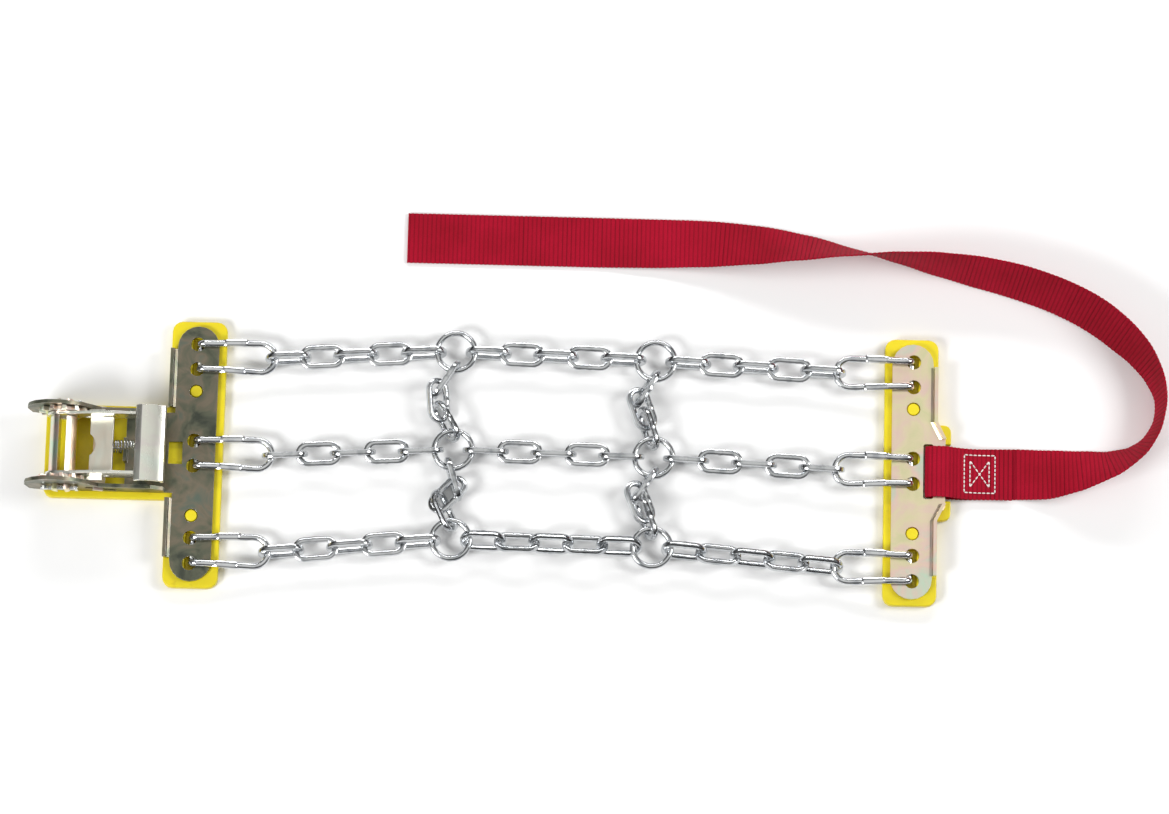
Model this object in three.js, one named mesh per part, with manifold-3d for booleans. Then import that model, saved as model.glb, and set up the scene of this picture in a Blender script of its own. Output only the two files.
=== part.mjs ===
// Strap-on snow chain for a tyre: three chain rows between two plates on rubber pads, two
// columns of cross chain hung on rings, a ratchet buckle on the left plate and a webbing
// strap sewn round the bar of the right plate. Millimetres, +Z up, lying flat on the pads.
import * as THREE from "three";
import { mergeVertices } from "three/addons/utils/BufferGeometryUtils.js";
import Module from "manifold-3d";

// ---- driving dimensions -------------------------------------------------------------
const WIRE = 4; // chain wire diameter
const LINK_HOLE = 23.5; // inside length of a link
const LINK_BOW = 6.5; // centreline radius of a link's round end
const PITCH = 23; // from link to link, half a millimetre slack
const RING_RADIUS = 13; // centreline radius of a ring
const RING_STEP = 22.05; // from a ring's centre to the centre of the link hooked on it
const LAP_WIRE = 4.6; // wire of the long links that hook into the plates
const LAP_REACH = 53.1; // from a plate's hole line to the centreline of a lap link's bow
const CHAIN_Z = 8.6; // height of the chain's centreline
const ROWS = [67, 0, -67]; // the rows' places across the tyre
const FIRST_LINK_X = 61.85; // from a hole line to the centre of the first link
const FIRST_RING_X = FIRST_LINK_X + 4 * PITCH + RING_STEP;
const RING_X = [FIRST_RING_X, FIRST_RING_X + 4 * PITCH + 2 * RING_STEP];
const HOLE_LINE_X = [0, RING_X[1] + FIRST_RING_X]; // the hole lines of the two plates
const RING_SHIFT = [[8, 7, 12], [5, 5, 10]]; // how far each ring lies off its row's line

const PAD_TOP = 6.3; // thickness of the rubber pads
const PLATE_Z = 6.6; // underside of the plates
const SHEET = 2.5; // thickness of the plates and of the ratchet frame
const PLATE_TOP = PLATE_Z + SHEET;
const PLATE_HALF = 88; // half the length of a plate
const HOLE_RADIUS = 5; // holes for the lap links
const HOLE_SPREAD = 8.7; // from a row's line to each of its two holes
const NOSE_X = -112; // the frame's round nose
const BUMP_REACH = 26; // from the right hole line to the end of the strap pad's bumps
const STUD_Y = [43, -43]; // pad studs, between the rows
const STUD_RADIUS = 4.1;
const CROSSBAR_X = 1.5; // from the hole line toward the chain
const CROSSBAR_Z = 4.05;

const SPOOL = { x: -87, z: 25, radius: 9, neck: 6.4, gap: 5, half: 19.0 };
const WALL_Y = [25, 27.5]; // inner and outer face of a frame wall
const GEAR = { tip: 17, root: 12.8, teeth: 12, y: [21.8, 24.6], firstGap: 10 };
const CHEEK_Y = [19.4, 21.4]; // inner and outer face of the handle's cheeks
const DRIVE_ANGLE = 10; // degrees above +X that the drive pawl slides along
const LOCK_ANGLE = -20; // degrees that the lock pawl slides along
const STRAP_WIDTH = 35;
const STRAP_THICK = 1.8;

const COLOURS = {
  zinc: { color: 0xc9cdd2, metalness: 0.9, roughness: 0.25 },
  greenZinc: { color: 0x8f9184, metalness: 0.8, roughness: 0.4 },
  goldZinc: { color: 0xb8a384, metalness: 0.8, roughness: 0.35 },
  rubber: { color: 0xf2d90a, metalness: 0, roughness: 0.5 },
  webbing: { color: 0xa8123a, metalness: 0, roughness: 0.85 },
};

// ---- helpers ------------------------------------------------------------------------
const wasm = await Module();
wasm.setup();
const rad = THREE.MathUtils.degToRad;
const vec = (x, y, z) => new THREE.Vector3(x, y, z);

function solid(geometry) {
  const bare = geometry.clone();
  bare.deleteAttribute("normal");
  bare.deleteAttribute("uv");
  const merged = mergeVertices(bare, 1e-4);
  const mesh = new wasm.Mesh({
    numProp: 3,
    vertProperties: new Float32Array(merged.attributes.position.array),
    triVerts: new Uint32Array(merged.index.array),
  });
  return new wasm.Manifold(mesh);
}

function geometryOf(manifold) {
  const mesh = manifold.getMesh();
  const geometry = new THREE.BufferGeometry();
  geometry.setAttribute("position", new THREE.BufferAttribute(new Float32Array(mesh.vertProperties), 3));
  geometry.setIndex(new THREE.BufferAttribute(new Uint32Array(mesh.triVerts), 1));
  return geometry;
}

const union = (...geometries) => geometryOf(geometries.map(solid).reduce((a, b) => a.add(b)));
const cut = (from, ...tools) => geometryOf(tools.map(solid).reduce((a, b) => a.subtract(b), solid(from)));

function box(x0, x1, y0, y1, z0, z1) {
  const geometry = new THREE.BoxGeometry(x1 - x0, y1 - y0, z1 - z0);
  return geometry.translate((x0 + x1) / 2, (y0 + y1) / 2, (z0 + z1) / 2);
}

// A cylinder along Z or Y between two levels.
function rod(radius, axis, from, to, [a, b], sides = 16) {
  const geometry = new THREE.CylinderGeometry(radius, radius, to - from, sides);
  geometry.translate(0, (from + to) / 2, 0);
  if (axis === "y") return geometry.translate(a, 0, b);
  return geometry.rotateX(Math.PI / 2).translate(a, b, 0);
}

// A flat outline in XY, extruded from z0 to z1.
function slab(outline, z0, z1) {
  const shape = new THREE.Shape(outline.map(([x, y]) => new THREE.Vector2(x, y)));
  const geometry = new THREE.ExtrudeGeometry(shape, { depth: z1 - z0, bevelEnabled: false });
  return geometry.translate(0, 0, z0);
}

// A flat outline in XZ, extruded from y0 to y1.
function wall(outline, y0, y1) {
  const shape = new THREE.Shape(outline.map(([x, z]) => new THREE.Vector2(x, z)));
  const geometry = new THREE.ExtrudeGeometry(shape, { depth: y1 - y0, bevelEnabled: false });
  return geometry.rotateX(Math.PI / 2).translate(0, y1, 0);
}

// Points on an arc, both ends included.
function arc(cx, cy, radius, from, to, steps) {
  return Array.from({ length: steps + 1 }, (_, i) => {
    const a = rad(from + ((to - from) * i) / steps);
    return [cx + radius * Math.cos(a), cy + radius * Math.sin(a)];
  });
}

// A surface through rings of points: closed round, or open with a flat cap on each end.
function skin(rings, closed) {
  const sides = rings[0].length;
  const geometry = new THREE.BufferGeometry();
  const places = rings.flat().flatMap((p) => p.toArray());
  geometry.setAttribute("position", new THREE.Float32BufferAttribute(places, 3));
  const index = [];
  const joins = closed ? rings.length : rings.length - 1;
  for (let i = 0; i < joins; i += 1) {
    const here = i * sides;
    const next = ((i + 1) % rings.length) * sides;
    for (let k = 0; k < sides; k += 1) {
      const l = (k + 1) % sides;
      index.push(here + k, next + l, next + k, here + k, here + l, next + l);
    }
  }
  if (!closed) {
    const last = (rings.length - 1) * sides;
    for (let k = 1; k < sides - 1; k += 1) index.push(0, k + 1, k, last, last + k, last + k + 1);
  }
  geometry.setIndex(index);
  return geometry;
}

// Closed wire loop of a six-sided section along points, turned to face the loop's centre.
function wireLoop(points, radius, centre, sides = 6) {
  const rings = points.map((p, i) => {
    const before = points[(i + points.length - 1) % points.length];
    const after = points[(i + 1) % points.length];
    const along = after.clone().sub(p).normalize().add(p.clone().sub(before).normalize()).normalize();
    const out = p.clone().sub(centre);
    out.addScaledVector(along, -out.dot(along)).normalize();
    const side = along.clone().cross(out);
    return Array.from({ length: sides }, (_, k) => {
      const a = (2 * Math.PI * k) / sides;
      const corner = p.clone().addScaledVector(out, -radius * Math.cos(a));
      return corner.addScaledVector(side, -radius * Math.sin(a));
    });
  });
  return skin(rings, true);
}

// ---- chain --------------------------------------------------------------------------
// A link with its length along X, its flat side up.
function link() {
  const straight = LINK_HOLE / 2 - (LINK_BOW - WIRE / 2);
  const right = arc(straight, 0, LINK_BOW, -90, 90, 4);
  const left = arc(-straight, 0, LINK_BOW, 90, 270, 4);
  return wireLoop([...right, ...left].map(([x, y]) => vec(x, y, 0)), WIRE / 2, vec(0, 0, 0));
}

function ring() {
  const points = arc(0, 0, RING_RADIUS, 0, 330, 11).map(([x, y]) => vec(x, y, 0));
  return wireLoop(points, WIRE / 2, vec(0, 0, 0));
}

// A lap link: its bow toward +X, its legs on the plate's top, its crossbar under the plate.
function lapLink() {
  const bow = LAP_REACH - 10;
  const half = [
    [CROSSBAR_X, 6.8, 0],
    [CROSSBAR_X, HOLE_SPREAD, 1.9],
    [CROSSBAR_X, HOLE_SPREAD, 6.0],
    [CROSSBAR_X + 1.9, HOLE_SPREAD, 7.8],
    [15, 9, 7.7],
    [30, 9.6, 6.3],
    [bow, 10, CHAIN_Z + 0.3 - CROSSBAR_Z],
  ];
  const end = arc(bow, 0, 10, 45, -45, 2).map(([x, y]) => [x, y, CHAIN_Z + 0.3 - CROSSBAR_Z]);
  const back = half.map(([x, y, z]) => [x, -y, z]).reverse();
  const points = [...half, ...end, ...back].map((p) => vec(...p)).reverse();
  return wireLoop(points, LAP_WIRE / 2, vec(25, 0, 6));
}

// Turns a link about its own length by roll, then its length to heading, and moves it.
function place(geometry, x, y, z, heading, roll) {
  return geometry.rotateX(rad(roll)).rotateZ(rad(heading)).translate(x, y, z);
}

// Links in one solid: each is bridged to the next where they hang on each other.
function joinedLinks(links) {
  const bridges = links.slice(1).map((b, i) => {
    const a = links[i];
    return new THREE.BoxGeometry(2.4, 2.4, 2.4).translate((a.x + b.x) / 2, (a.y + b.y) / 2, (a.z + b.z) / 2);
  });
  return union(...links.map((l) => place(link(), l.x, l.y, l.z, l.heading, l.roll)), ...bridges);
}

// The line of ring and bow centres of a row, left to right.
const stations = ROWS.map((y, row) => [
  [LAP_REACH, y],
  [RING_X[0], y + RING_SHIFT[0][row]],
  [RING_X[1], y + RING_SHIFT[1][row]],
  [HOLE_LINE_X[1] - LAP_REACH, y],
]);
const SPAN_START = [FIRST_LINK_X, RING_X[0] + RING_STEP, RING_X[1] + RING_STEP];
const ROW_NAMES = ["upper", "middle", "lower"];
const ROLLS = [
  [[78, -4], [80, 3], [82, 2]],
  [[101, 3], [99, -2], [98, 4]],
  [[76, -8], [54, -36], [62, -32]],
]; // by row and span: the roll of the links on edge and of the flat ones

function spanLinks(row, span) {
  const [x0, y0] = stations[row][span];
  const [x1, y1] = stations[row][span + 1];
  const slope = (y1 - y0) / (x1 - x0);
  const heading = THREE.MathUtils.radToDeg(Math.atan(slope));
  return Array.from({ length: 5 }, (_, i) => {
    const x = SPAN_START[span] + i * PITCH;
    const roll = ROLLS[row][span][i % 2];
    return { x, y: y0 + slope * (x - x0), z: CHAIN_Z, heading, roll };
  });
}

const parts = [];
function add(name, geometry, colour) {
  const mesh = new THREE.Mesh(geometry, new THREE.MeshStandardMaterial(COLOURS[colour]));
  mesh.name = name;
  parts.push(mesh);
}

for (let row = 0; row < 3; row += 1) {
  const name = ROW_NAMES[row];
  add(`lap_link_left_${name}`, lapLink().translate(0, ROWS[row], CROSSBAR_Z), "zinc");
  const rightLap = lapLink().rotateZ(Math.PI).translate(HOLE_LINE_X[1], ROWS[row], CROSSBAR_Z);
  add(`lap_link_right_${name}`, rightLap, "zinc");
  for (let span = 0; span < 3; span += 1) {
    const links = spanLinks(row, span);
    add(`chain_${name}_${span + 1}a`, joinedLinks(links.slice(0, 2)), "zinc");
    add(`chain_${name}_${span + 1}b`, joinedLinks(links.slice(2, 3)), "zinc");
    add(`chain_${name}_${span + 1}c`, joinedLinks(links.slice(3, 5)), "zinc");
  }
  for (let column = 0; column < 2; column += 1) {
    const [x, y] = stations[row][column + 1];
    add(`ring_${column + 1}_${name}`, ring().translate(x, y, CHAIN_Z), "zinc");
  }
}

// Cross chains: three links that zig-zag between two rings, through the points where they
// hook on each other. Each half column bows to one side by the given amounts.
const CROSS_BOW = [[[-10, -9], [4, -6]], [[-9, -5], [-9, -5]]]; // by column and half
const CROSS_ROLL = [[[86, -32, 62], [84, 24, -58]], [[74, -20, 66], [78, -24, 66]]];
const RING_HOOK = 8; // from a ring's wire to the centre of the cross link hooked on it

function crossChain(column, half) {
  const [xTop, yTop] = stations[half][column + 1];
  const [xLow, yLow] = stations[half + 1][column + 1];
  const top = vec(xTop - 2, yTop - RING_RADIUS + 0.2, CHAIN_Z);
  const low = vec(xLow - 1.5, yLow + RING_RADIUS - 0.6, CHAIN_Z);
  const [bowTop, bowLow] = CROSS_BOW[column][half];
  const knots = [top, top.clone().lerp(low, 0.36), top.clone().lerp(low, 0.64), low];
  knots[1].x += bowTop;
  knots[2].x += bowLow;
  const links = CROSS_ROLL[column][half].map((roll, i) => {
    const along = knots[i + 1].clone().sub(knots[i]).normalize();
    const from = i === 2 ? knots[3] : knots[i];
    const centre = i === 1 ? knots[1].clone().lerp(knots[2], 0.5) : from.clone();
    if (i !== 1) centre.addScaledVector(along, i === 0 ? RING_HOOK : -RING_HOOK);
    const heading = THREE.MathUtils.radToDeg(Math.atan2(along.y, along.x));
    return { x: centre.x, y: centre.y, z: centre.z, heading, roll };
  });
  const bridges = knots.slice(1, 3).map((k) => new THREE.BoxGeometry(8, 8, 4).translate(k.x, k.y, k.z));
  return union(...links.map((l) => place(link(), l.x, l.y, l.z, l.heading, l.roll)), ...bridges);
}

for (const column of [0, 1]) {
  add(`cross_chain_${column + 1}_upper`, crossChain(column, 0), "zinc");
  add(`cross_chain_${column + 1}_lower`, crossChain(column, 1), "zinc");
}

// ---- plates and pads ----------------------------------------------------------------
// Rounded rectangle as an outline.
function rounded(x0, x1, y0, y1, r, steps = 4) {
  return [
    ...arc(x1 - r, y0 + r, r, -90, 0, steps),
    ...arc(x1 - r, y1 - r, r, 0, 90, steps),
    ...arc(x0 + r, y1 - r, r, 90, 180, steps),
    ...arc(x0 + r, y0 + r, r, 180, 270, steps),
  ];
}

// Lap link holes and stud holes, through the plate lying between z0 and z1.
function plateHoles(x) {
  const laps = ROWS.flatMap((y) => [y - HOLE_SPREAD, y + HOLE_SPREAD]);
  const bores = laps.map((y) => rod(HOLE_RADIUS, "z", PLATE_Z - 1, PLATE_TOP + 1, [x, y], 14));
  return [...bores, ...STUD_Y.map((y) => rod(4.75, "z", PLATE_Z - 1, PLATE_TOP + 1, [x, y], 12))];
}

// The up-turned rib along a plate's outer edge, between two heights of Y. dir is -1 for the
// left plate and +1 for the right one. lean moves it along X by that much for each unit of Y
// from its start.
function rib(x, dir, y0, y1, lean = 0) {
  const section = [
    [0, PLATE_Z], [3.2, PLATE_Z], [6.2, PLATE_Z + 2.2], [7, PLATE_Z + 6.2],
    [4.6, PLATE_Z + 6.2], [4, PLATE_Z + 3.4], [2.4, PLATE_TOP], [0, PLATE_TOP],
  ];
  const points = section.map(([dx, z]) => [x + dir * dx, z]);
  const straight = wall(dir > 0 ? points : points.reverse(), y0, y1);
  const shear = new THREE.Matrix4().makeShear(0, 0, lean, 0, 0, 0);
  return straight.translate(0, -y0, 0).applyMatrix4(shear).translate(0, y0, 0);
}

function frameWall(side) {
  const outline = [
    [-19, PLATE_Z], [-19, 15], [-27, 21], [-62, 22.5], [-74, 38], ...arc(NOSE_X + 20, 25, 20, 60, 180, 5),
    [-110, 12], [-100, PLATE_Z],
  ].reverse();
  const [y0, y1] = side > 0 ? WALL_Y : [-WALL_Y[1], -WALL_Y[0]];
  return wall(outline, y0, y1);
}

// A box of the frame's pawl slot, lying along the slide direction from the spool's axis.
function alongSlide(angle, r0, r1, y0, y1, half) {
  return box(r0, r1, y0, y1, -half, half).rotateY(-rad(angle)).translate(SPOOL.x, 0, SPOOL.z);
}

function ratchetPlate() {
  const strip = slab(rounded(-13.5, 14.5, -PLATE_HALF, PLATE_HALF, 13.9, 5), PLATE_Z, PLATE_TOP);
  const stem = box(-46, -10, -WALL_Y[1], WALL_Y[1], PLATE_Z, PLATE_TOP);
  const tab = box(-47, -44.5, -8, 8, PLATE_Z, 17);
  const ribs = [rib(-11.2, -1, WALL_Y[1] + 4, 72), rib(-11.2, -1, -72, -WALL_Y[1] - 4)];
  const body = union(strip, stem, tab, frameWall(1), frameWall(-1), ...ribs);
  const window = box(-17.2, -7.6, -7.8, 7.8, PLATE_Z - 1, PLATE_TOP + 1);
  const bore = rod(7, "y", -30, 30, [SPOOL.x, SPOOL.z], 18);
  const slots = [1, -1].map((s) => {
    const [y0, y1] = s > 0 ? [24, 29] : [-29, -24];
    return alongSlide(LOCK_ANGLE, 17, 38.5, y0, y1, 2.1);
  });
  return cut(body, ...plateHoles(0), window, bore, ...slots);
}

function strapPlate() {
  const x = HOLE_LINE_X[1];
  const strip = slab(rounded(x - 14.5, x + 13.5, -PLATE_HALF, PLATE_HALF, 13.9, 5), PLATE_Z, PLATE_TOP);
  const lugCorners = [...arc(x + 19, -24, 3, -90, 0, 2), ...arc(x + 19, 24, 3, 0, 90, 2)];
  const lug = slab([[x + 5, -27], ...lugCorners, [x + 5, 27]], PLATE_Z, PLATE_TOP);
  const ribs = [rib(x + 9.5, 1, 34, 72), rib(x + 9.5, 1, -72, -34)];
  const turns = [rib(x + 9.5 + 5.9, 1, 22.3, 34.1, -0.5), rib(x + 9.5, 1, -34.1, -22.3, 0.5)];
  const slot = slab(rounded(x + 7, x + 13.9, -19, 19, 1.5, 2), PLATE_Z - 1, PLATE_TOP + 1);
  return cut(union(strip, lug, ...ribs, ...turns), ...plateHoles(x), slot);
}

// Pockets in a pad for the crossbars, open on top.
function pockets(x, dir) {
  return ROWS.map((y) => box(x + dir * CROSSBAR_X - 5, x + dir * CROSSBAR_X + 5, y - 13.5, y + 13.5, 1.3, 8));
}

const studs = (x) => STUD_Y.map((y) => rod(STUD_RADIUS, "z", PAD_TOP - 1, PLATE_TOP - 0.2, [x, y], 12));

function ratchetPad() {
  const bar = slab(rounded(-18, 19.5, -92, 92, 7), 0, PAD_TOP);
  const stem = slab(rounded(-101, -10, -32, 32, 6), 0, PAD_TOP);
  return cut(union(bar, stem, ...studs(0)), ...pockets(0, 1));
}

function strapPad() {
  const x = HOLE_LINE_X[1];
  const bar = slab(rounded(x - 19.5, x + 17, -92, 92, 7), 0, PAD_TOP);
  const bumps = slab(rounded(x, x + BUMP_REACH, -33, 33, 5), 0, PAD_TOP);
  const gap = box(x + 6, x + BUMP_REACH + 4, -19.5, 19.5, -1, 8);
  return cut(union(bar, bumps, ...studs(x)), ...pockets(x, -1), gap);
}

add("ratchet_plate", ratchetPlate(), "greenZinc");
add("ratchet_pad", ratchetPad(), "rubber");
add("strap_plate", strapPlate(), "goldZinc");
add("strap_pad", strapPad(), "rubber");

// ---- ratchet ------------------------------------------------------------------------
// Half of the split shaft: a D section, with thinner necks through the gears and walls.
function spoolHalf(side) {
  const middle = rod(SPOOL.radius, "y", -SPOOL.half, SPOOL.half, [SPOOL.x, SPOOL.z], 20);
  const necks = rod(SPOOL.neck, "y", -31, 31, [SPOOL.x, SPOOL.z], 16);
  const edge = side * (SPOOL.gap / 2);
  const [x0, x1] = side > 0 ? [-200, SPOOL.x + edge] : [SPOOL.x + edge, 100];
  const away = box(x0, x1, -40, 40, 0, 60);
  const pins = [29.3, -29.3].map((y) => box(-110, -60, y - 1.6, y + 1.6, SPOOL.z - 1.6, SPOOL.z + 1.6));
  return cut(union(middle, necks), away, ...pins);
}

function gear(side) {
  const step = 360 / GEAR.teeth;
  const outline = [];
  for (let i = 0; i < GEAR.teeth; i += 1) {
    const a = GEAR.firstGap + i * step;
    outline.push(...arc(0, 0, GEAR.root, a - 6.5, a + 6.5, 2), ...arc(0, 0, GEAR.tip, a + 10.5, a + 19.5, 1));
  }
  const shape = new THREE.Shape(outline.map(([x, z]) => new THREE.Vector2(x, z)));
  const bore = arc(0, 0, SPOOL.neck + 0.4, 0, -337.5, 15).map(([x, z]) => new THREE.Vector2(x, z));
  shape.holes.push(new THREE.Path(bore));
  const thick = GEAR.y[1] - GEAR.y[0];
  const disc = new THREE.ExtrudeGeometry(shape, { depth: thick, bevelEnabled: false }).rotateX(Math.PI / 2);
  return disc.translate(SPOOL.x, side > 0 ? GEAR.y[1] : -GEAR.y[0], SPOOL.z);
}

// A split pin through both shaft ends, its eye and legs turned along the shaft.
function cotterPin(side) {
  const y = side * 29.3;
  const shank = box(-97, -77.5, y - 1.2, y + 1.2, SPOOL.z - 1.2, SPOOL.z + 1.2);
  const eye = rod(3, "y", y - 1.2, y + 1.2, [-98, SPOOL.z], 10);
  const tail = box(-78, -75.6, y - 1.2, y + 1.2, SPOOL.z - 5, SPOOL.z + 3);
  return union(shank, eye, tail);
}

function cheek(side) {
  const outline = [
    ...arc(SPOOL.x, SPOOL.z, 11.5, -10, -280, 10), [-62, 41], [-37, 41], [-18, 38.5], [-18, 31], [-34, 25.6],
  ];
  const [y0, y1] = side > 0 ? CHEEK_Y : [-CHEEK_Y[1], -CHEEK_Y[0]];
  return wall(outline.reverse(), y0, y1);
}

function handle() {
  const top = [
    [-37, 39], [-37, 41.4], [-33, 43.2], [-24, 42.6], [-17.5, 39.5], [-17, 34],
    [-19, 34], [-20, 38], [-25, 40.4], [-33, 41], [-35, 39],
  ];
  const grip = wall(top.reverse(), -26, 26);
  const seat = box(-37, -35, -CHEEK_Y[1], CHEEK_Y[1], 29, 40);
  const body = union(cheek(1), cheek(-1), grip, seat);
  const bore = rod(SPOOL.neck + 0.5, "y", -30, 30, [SPOOL.x, SPOOL.z], 16);
  const slots = alongSlide(DRIVE_ANGLE, 14.8, 32.5, -24, 24, 1.8);
  return cut(body, bore, slots);
}

const TIP_Y = [[21.9, 24.4], [-24.4, -21.9]]; // where a pawl's two tips lie over the gears
const PAWL_HALF = 1.25; // half a pawl's thickness

// The drive pawl: a plate in the handle whose ears reach out over the gears.
function drivePawl() {
  const ears = alongSlide(DRIVE_ANGLE, 19, 28.5, -24.4, 24.4, PAWL_HALF);
  const tips = TIP_Y.map(([y0, y1]) => alongSlide(DRIVE_ANGLE, 17.6, 20, y0, y1, PAWL_HALF));
  const back = alongSlide(DRIVE_ANGLE, 27, 35, -19, 19, PAWL_HALF);
  const middle = rod(9, "z", -2, 2, [14, 0], 16).rotateY(-rad(DRIVE_ANGLE)).translate(SPOOL.x, 0, SPOOL.z);
  return cut(union(ears, ...tips, back), middle);
}

// The lock pawl: a plate across the frame, its tips in the gears' teeth at rest.
function lockPawl() {
  const plate = alongSlide(LOCK_ANGLE, 21, 30, -24.4, 24.4, PAWL_HALF);
  const ears = alongSlide(LOCK_ANGLE, 22, 29, -29, 29, PAWL_HALF);
  const tips = TIP_Y.map(([y0, y1]) => alongSlide(LOCK_ANGLE, 13.6, 22, y0, y1, PAWL_HALF));
  return union(plate, ears, ...tips);
}

// A coil spring's outer shape, along a pawl's slide.
function spring(angle, r0, r1, radius) {
  const tube = new THREE.CylinderGeometry(radius, radius, r1 - r0, 8).rotateZ(Math.PI / 2);
  return tube.translate((r0 + r1) / 2, 0, 0).rotateY(-rad(angle)).translate(SPOOL.x, 0, SPOOL.z);
}

add("spool_half_front", spoolHalf(1), "goldZinc");
add("spool_half_rear", spoolHalf(-1), "goldZinc");
add("gear_upper", gear(1), "goldZinc");
add("gear_lower", gear(-1), "goldZinc");
add("cotter_pin_upper", cotterPin(1), "zinc");
add("cotter_pin_lower", cotterPin(-1), "zinc");
add("handle", handle(), "greenZinc");
add("drive_pawl", drivePawl(), "goldZinc");
add("lock_pawl", lockPawl(), "goldZinc");
add("drive_spring", spring(DRIVE_ANGLE, 35.4, 49.6, 3.3), "zinc");
add("lock_spring", spring(LOCK_ANGLE, 30.4, 41.6, 2.4), "zinc");

// ---- strap --------------------------------------------------------------------------
// The webbing's route from its sewn end over the bar, through the slot and round to its
// free end. Each point is x, y, the height of its middle above its resting height, and
// the tilt in degrees of its upper face toward the inside of the loop.
const STRAP_ROUTE = [
  [556, 0, 2.3, 0], [542, 0, 2.3, 0], [528, 0, 2.6, 0], [518, 0, 6.0, 0], [511.5, 0, 9.9, 0],
  [506, 0, 10.9, 0], [499.6, 0, 9.6, 0], [496.9, 0, 6.8, 0], [499.8, 0, 3.8, 0], [506.5, 0, 2.9, 0],
  [514, 0, 1.6, 0], [524, 0, 0.1, 0], [540, 0.5, 0, 0], [560, 1, 0, 0], [580, 1, 0, 8],
  [601, 3, 0, 30], [622, 7.5, 0, 52], [638, 15.5, 0, 68], [648, 26, 0, 78], [654, 40, 0, 84],
  [655, 55, 0, 84], [650, 70, 0, 78], [641, 84, 0, 70], [628, 97, 0, 63], [611, 110, 0, 60],
  [590, 121, 0, 60], [562, 131, 0, 61], [532, 138, 0, 66], [503, 143, 0, 77], [475, 147, 0, 92],
  [444, 150, 0, 112], [412, 153, 0, 133], [380, 155, 0, 152], [345, 156, 0, 168], [308, 156, 0, 176],
  [270, 156, 0, 180], [205, 156, 0, 180], [140, 156, 0, 180],
];

const FLAT_STEPS = 24; // the first steps, where the webbing keeps its width across the chain

function strap() {
  const knots = STRAP_ROUTE.map(([x, y, lift]) => vec(x, y, lift));
  const curve = new THREE.CatmullRomCurve3(knots, false, "centripetal");
  const tilt = new THREE.CatmullRomCurve3(STRAP_ROUTE.map((p, i) => vec(i, p[3], 0)), false, "centripetal");
  const steps = 2 * (STRAP_ROUTE.length - 1);
  const lifted = Array.from({ length: steps + 1 }, (_, i) => {
    const angle = rad(Math.max(0, Math.min(180, tilt.getPoint(i / steps).y)));
    const rest = (STRAP_WIDTH / 2) * Math.sin(angle) + (STRAP_THICK / 2) * Math.abs(Math.cos(angle)) + 0.1;
    return { centre: curve.getPoint(i / steps).add(vec(0, 0, rest)), angle };
  });
  const rings = lifted.map(({ centre, angle }, i) => {
    const before = lifted[Math.max(0, i - 1)].centre;
    const after = lifted[Math.min(lifted.length - 1, i + 1)].centre;
    const along = after.clone().sub(before).normalize();
    const across = i < FLAT_STEPS ? vec(0, 1, 0) : vec(-along.y, along.x, 0).normalize();
    const top = across.clone().multiplyScalar(Math.sin(angle));
    const face = i < FLAT_STEPS ? along.clone().cross(across) : vec(0, 0, 1);
    top.addScaledVector(face, Math.cos(angle));
    top.addScaledVector(along, -top.dot(along)).normalize();
    const edge = top.clone().cross(along).normalize();
    const w = STRAP_WIDTH / 2;
    const t = STRAP_THICK / 2;
    return [[w, t], [-w, t], [-w, -t], [w, -t]].map(([a, b]) =>
      centre.clone().addScaledVector(edge, a).addScaledVector(top, b));
  });
  return skin(rings, false);
}
add("strap", strap(), "webbing");

// The origin is under the middle of everything but the strap.
const chain = new THREE.Group();
chain.add(...parts);
chain.position.x = -(NOSE_X + HOLE_LINE_X[1] + BUMP_REACH) / 2;
export default chain;
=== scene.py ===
"""Looks of a strap-on tyre snow chain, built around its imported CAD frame. Metres, +Z up."""
import math

import bmesh
import bpy
from mathutils import Matrix, Vector


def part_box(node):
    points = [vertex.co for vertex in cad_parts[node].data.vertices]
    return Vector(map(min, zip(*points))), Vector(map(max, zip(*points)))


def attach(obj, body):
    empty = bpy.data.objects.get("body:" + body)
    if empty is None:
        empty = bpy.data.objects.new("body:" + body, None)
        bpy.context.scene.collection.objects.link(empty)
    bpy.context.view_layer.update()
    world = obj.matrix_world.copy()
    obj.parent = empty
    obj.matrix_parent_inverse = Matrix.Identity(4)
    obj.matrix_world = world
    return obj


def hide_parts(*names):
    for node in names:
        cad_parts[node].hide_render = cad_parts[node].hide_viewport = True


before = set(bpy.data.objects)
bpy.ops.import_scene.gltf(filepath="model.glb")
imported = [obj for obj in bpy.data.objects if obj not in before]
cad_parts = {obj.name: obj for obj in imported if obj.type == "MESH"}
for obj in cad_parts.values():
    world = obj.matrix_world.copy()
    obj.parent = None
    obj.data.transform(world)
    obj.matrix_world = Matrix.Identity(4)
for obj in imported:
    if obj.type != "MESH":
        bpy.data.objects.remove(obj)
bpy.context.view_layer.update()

MM = 0.001
ROWS = ("upper", "middle", "lower")

# ---- places ---------------------------------------------------------------------------


def centre_of(node):
    low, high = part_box(node)
    return (Vector(low) + Vector(high)) / 2


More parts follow.
